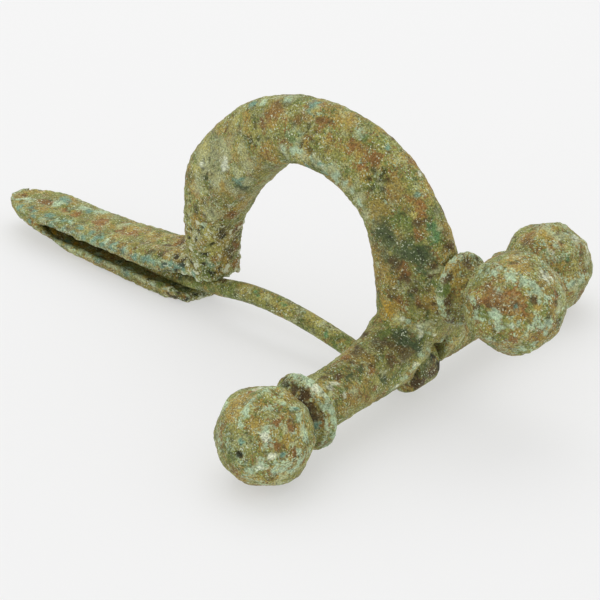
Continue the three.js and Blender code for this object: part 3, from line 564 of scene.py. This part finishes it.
far_knob_stains = {
    "rust": [(24.0, 24.7, 11.2, 1.5)],
    "sage": [(25.4, 26.8, 12.1, 1.1), (27.2, 27.2, 11.5, 1.0), (28.2, 29.0, 10.9, 1.1),
        (29.5, 30.4, 8.7, 1.0), (30.5, 28.9, 7.8, 0.8), (30.7, 26.0, 5.4, 0.8), (30.4, 29.2, 7.8, 0.6)],
    "mint": [(27.2, 28.5, 11.4, 0.5), (27.7, 25.9, 11.0, 0.5), (27.5, 24.2, 10.4, 0.8),
        (30.8, 25.7, 6.1, 1.0), (31.0, 27.2, 6.6, 0.8)],
    "verdigris": [(29.5, 25.9, 9.6, 0.6)],
    "ochre": [(29.3, 24.5, 8.9, 1.0), (25.3, 25.4, 11.7, 1.1), (29.9, 26.3, 9.1, 1.1)],
    "pale": [(27.7, 24.5, 10.4, 0.6), (27.9, 29.5, 10.9, 0.8), (29.3, 30.7, 8.9, 0.6)],
    "moss": [(27.2, 24.2, 10.5, 0.6)],
    "straw": [(30.1, 26.5, 8.8, 0.9)],
}
knob_finish = corroded_bronze("knob bronze", 0.04, 0.02, 0.12)
end_knob("worn_near_end_knob", "near_end_knob", -1, 6.2, 0.93, near_knob_stains)
end_knob("worn_far_end_knob", "far_end_knob", 1, 6.1, 1.0, far_knob_stains)

# The third knob, cast like the other two and fixed on the head of the bow: the same onion, a little fatter
# on a smaller collar, and tilted up from the crossbar's level.
head_knob_radius = 6.3
head_knob_length = 0.96
head_collar = [(0.3, 3.8, 4.4), (1.0, 4.5, 4.3), (0.3, 4.0, 3.4), (1.1, 3.2, 2.2)]
head_seat = Vector((31.392, 0, 16.585))
head_tilt = radians(6.3)
head_turn = radians(22.5)
head_knob_stains = {
    "moss": [(32.0, -3.8, 18.5, 1.3), (39.4, -6.0, 18.2, 0.8), (31.8, -4.4, 17.1, 0.8),
        (32.8, -4.0, 18.3, 1.0), (32.0, -4.1, 17.8, 1.0), (44.6, -3.2, 20.1, 1.0),
        (40.7, -5.9, 17.9, 0.8), (39.5, -4.0, 13.1, 0.8), (42.5, -5.4, 18.4, 0.6), (39.2, -4.0, 13.0, 0.6)],
    "mint": [(32.1, -4.3, 16.6, 0.8), (36.8, -3.1, 21.8, 0.6), (39.1, -3.1, 22.7, 0.6),
        (40.7, -3.1, 22.7, 0.6), (42.7, -2.7, 22.4, 0.6), (43.7, -2.0, 22.1, 0.6),
        (40.8, -4.5, 21.4, 0.5), (44.0, -2.8, 21.2, 0.4), (45.0, -2.1, 20.6, 0.4),
        (45.3, -1.0, 20.5, 0.4), (45.1, -3.2, 19.1, 0.5), (41.3, -5.8, 18.9, 0.9),
        (42.0, -5.7, 17.4, 0.8), (46.0, -1.5, 17.4, 1.0), (43.6, -3.4, 14.1, 0.8),
        (44.9, -2.4, 14.8, 0.5), (37.9, -3.0, 22.5, 0.6), (41.4, -3.0, 22.7, 0.6),
        (43.1, -2.4, 22.3, 0.6), (44.4, -1.8, 21.4, 0.6), (38.7, -5.9, 17.9, 0.8),
        (41.1, -5.9, 18.5, 0.8), (43.4, -5.0, 17.8, 0.8), (44.9, -3.7, 17.0, 0.8),
        (45.8, -2.0, 17.3, 0.8), (46.1, 0.9, 18.1, 0.6), (45.8, -1.7, 16.2, 0.6)],
    "umber": [(32.9, 0.3, 20.5, 0.8), (33.5, -3.5, 16.0, 0.8), (33.3, -3.6, 17.4, 0.8),
        (32.8, 0.5, 20.7, 0.6), (31.7, 0.3, 20.8, 0.5), (32.2, -3.1, 19.4, 0.8), (33.2, -4.1, 16.4, 0.8),
        (32.5, -3.0, 13.8, 0.9), (38.6, -5.8, 19.0, 0.8), (44.5, -2.7, 20.6, 0.6),
        (33.1, -4.0, 15.2, 0.8), (33.2, -4.0, 16.6, 0.5)],
    "ochre": [(33.4, -2.1, 19.1, 1.0), (41.0, -1.8, 23.4, 1.0), (44.5, -0.5, 21.7, 1.0),
        (46.0, -0.8, 18.9, 0.8), (45.1, -2.3, 20.0, 1.0), (33.4, -2.6, 18.5, 0.9),
        (44.9, -3.5, 18.5, 0.8), (43.8, -4.6, 18.8, 0.8), (45.0, -3.5, 16.7, 0.6), (43.9, -4.6, 16.7, 0.6)],
    "rust": [(40.2, -5.3, 20.6, 1.8), (44.0, -4.2, 19.7, 1.1), (42.6, -3.8, 21.5, 1.0),
        (45.5, 1.0, 20.3, 0.6), (43.2, -5.1, 15.9, 0.8), (42.1, -5.0, 20.4, 2.3),
        (39.6, -5.7, 20.1, 1.0), (38.0, -5.1, 20.4, 0.9), (38.5, -5.7, 19.7, 0.8)],
    "turquoise": [(43.3, -4.6, 20.1, 0.4)],
    "sage": [(31.9, -4.4, 17.1, 0.6), (43.9, 0.4, 22.2, 1.1), (46.0, 0.6, 19.0, 0.9)],
    "pale": [(43.9, 0.7, 22.2, 0.8)],
}
head_knob = onion_knob("worn_head_knob", head_knob_radius, head_knob_length, head_collar, 0.2)
head_knob.data.transform(Matrix.Translation(head_seat * mm) @ Matrix.Rotation(pi / 2 - head_tilt, 4, "Y")
                         @ Matrix.Rotation(head_turn, 4, "Z"))
corrode(head_knob, head_knob_stains, 0.16 * mm, knob_rubs, lambda place: 0.3)
head_knob.data.materials.clear()
head_knob.data.materials.append(knob_finish)
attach(head_knob, "brooch")
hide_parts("head_knob")

# The pin: a bronze wire rolled into a thick eye at one end and drawn to a point at the other. It turns on
# the axle and lies in the catch. Between the two its crust stands a little out from the solid.
pin_grain = 0.13 * mm
pin_growth = 0.12 * mm
pin_stains_and_shade = {
    "verdigris": [(12.7, -2.0, 4.0, 0.5), (5.4, -1.6, 5.5, 0.5), (1.3, -1.8, 5.5, 0.4),
        (0.7, -1.5, 5.7, 0.4)],
    "sage": [(12.9, -1.1, 4.6, 0.4), (3.0, -1.8, 5.5, 0.8), (7.7, -1.4, 5.4, 0.8),
        (11.4, -1.4, 4.8, 0.6), (-0.5, -1.7, 5.6, 0.6), (-2.3, -2.0, 5.0, 0.5), (7.3, -2.1, 4.4, 0.6)],
    "ochre": [(15.0, -1.8, 3.8, 0.6)],
    # The dark marks round the eye, near x = 28 mm (umber, grime and bottle), are painted shade under the
    # crossbar's hood.
    "umber": [(28.5, -0.7, 4.1, 1.1), (27.7, -2.9, 3.2, 1.1), (27.6, -2.9, 2.8, 1.0),
        (-5.6, -1.1, 5.1, 0.6)],
    "grime_and_shade": [(28.5, 0.8, 4.5, 0.8), (28.3, -0.5, 5.6, 0.8)],
    "straw": [(1.7, -1.8, 5.5, 0.8), (3.8, -1.8, 5.5, 0.8), (5.4, -1.6, 5.5, 0.8), (6.7, -1.4, 5.5, 0.8),
        (9.1, -1.4, 5.2, 0.8), (10.6, -1.3, 5.0, 0.8), (13.3, -1.5, 4.3, 0.8), (-1.7, -1.7, 5.5, 0.6)],
    "bottle": [(28.5, -2.1, 4.7, 1.5), (-12.5, -1.7, 3.3, 0.8)],
    "moss": [(-6.9, -2.0, 3.6, 0.8), (14.1, -1.7, 2.3, 0.8), (14.3, -2.1, 3.1, 0.6)],
}
pin = cast_piece("pin", "worn_pin")
worn_skin(pin, pin_grain)
outward = [normal.vector.copy() for normal in pin.data.vertex_normals]
for vertex, normal in zip(pin.data.vertices, outward):
    free = eased(vertex.co.x / mm, -9, -6) * (1 - eased(vertex.co.x / mm, 15, 18))
    vertex.co += normal * (pin_growth * free)
corrode(pin, pin_stains_and_shade, 0.08 * mm)
pin.data.materials.clear()
pin.data.materials.append(corroded_bronze("pin bronze", -0.02, 0.12, 0.0))
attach(pin, "pin")
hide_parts("pin")

# The axle: a plain bronze rod, pushed in from the end of the near arm and through the pin's eye. It stops
# in the far arm, and the near knob covers the hole that it went in by.
axle_grain = 0.14 * mm
axle = cast_piece("hinge_axle", "worn_hinge_axle")
worn_skin(axle, axle_grain)
corrode(axle, {}, 0.04 * mm)
axle.data.materials.clear()
axle.data.materials.append(corroded_bronze("axle bronze", 0.1, 0.0, -0.1))
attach(axle, "brooch")
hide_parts("hinge_axle")

# The brooch stands on a wide sheet of white paper, which glows a little so that its shadows stay soft,
# under an even sky and one wide lamp from above and behind.
shape = bmesh.new()
bmesh.ops.create_grid(shape, x_segments=1, y_segments=1, size=1.5)
paper = finished_piece(shape, "paper")
white = bpy.data.materials.new("white paper")
white.use_nodes = True
for label, amount in (("Base Color", (0.4, 0.4, 0.4, 1)), ("Roughness", 0.9), ("Specular IOR Level", 0.1),
                      ("Emission Color", (1, 1, 1, 1)), ("Emission Strength", 0.45)):
    white.node_tree.nodes["Principled BSDF"].inputs[label].default_value = amount
paper.data.materials.append(white)

room = bpy.data.worlds.new("room")
room.use_nodes = True
room.node_tree.nodes["Background"].inputs["Color"].default_value = (1, 1, 1, 1)
room.node_tree.nodes["Background"].inputs["Strength"].default_value = 0.95
bpy.context.scene.world = room
lamp = bpy.data.lights.new("soft light", "AREA")
lamp.shape = "DISK"
lamp.size = 0.9
lamp.energy = 1.9
soft_light = bpy.data.objects.new("soft light", lamp)
soft_light.location = (-0.25, 0.22, 0.8)
soft_light.rotation_euler = soft_light.location.to_track_quat("Z", "Y").to_euler()
bpy.context.collection.objects.link(soft_light)

# The camera stands well back and low over the near side, looking past the near knob along the brooch, and
# a long lens keeps it in the frame.
lens = bpy.data.cameras.new("camera")
lens.lens = 156
lens.sensor_width = 36
lens.clip_start = 0.01
camera = bpy.data.objects.new("camera", lens)
looks_back = Vector((0.57391, -0.66488, 0.47808))
looks_at = Vector((0.0089, -0.00277, 0.0080))
distance = 0.3267
camera.location = looks_at + distance * looks_back
camera.rotation_euler = looks_back.to_track_quat("Z", "Y").to_euler()
bpy.context.collection.objects.link(camera)
bpy.context.scene.camera = camera
bpy.context.scene.view_settings.view_transform = "Standard"
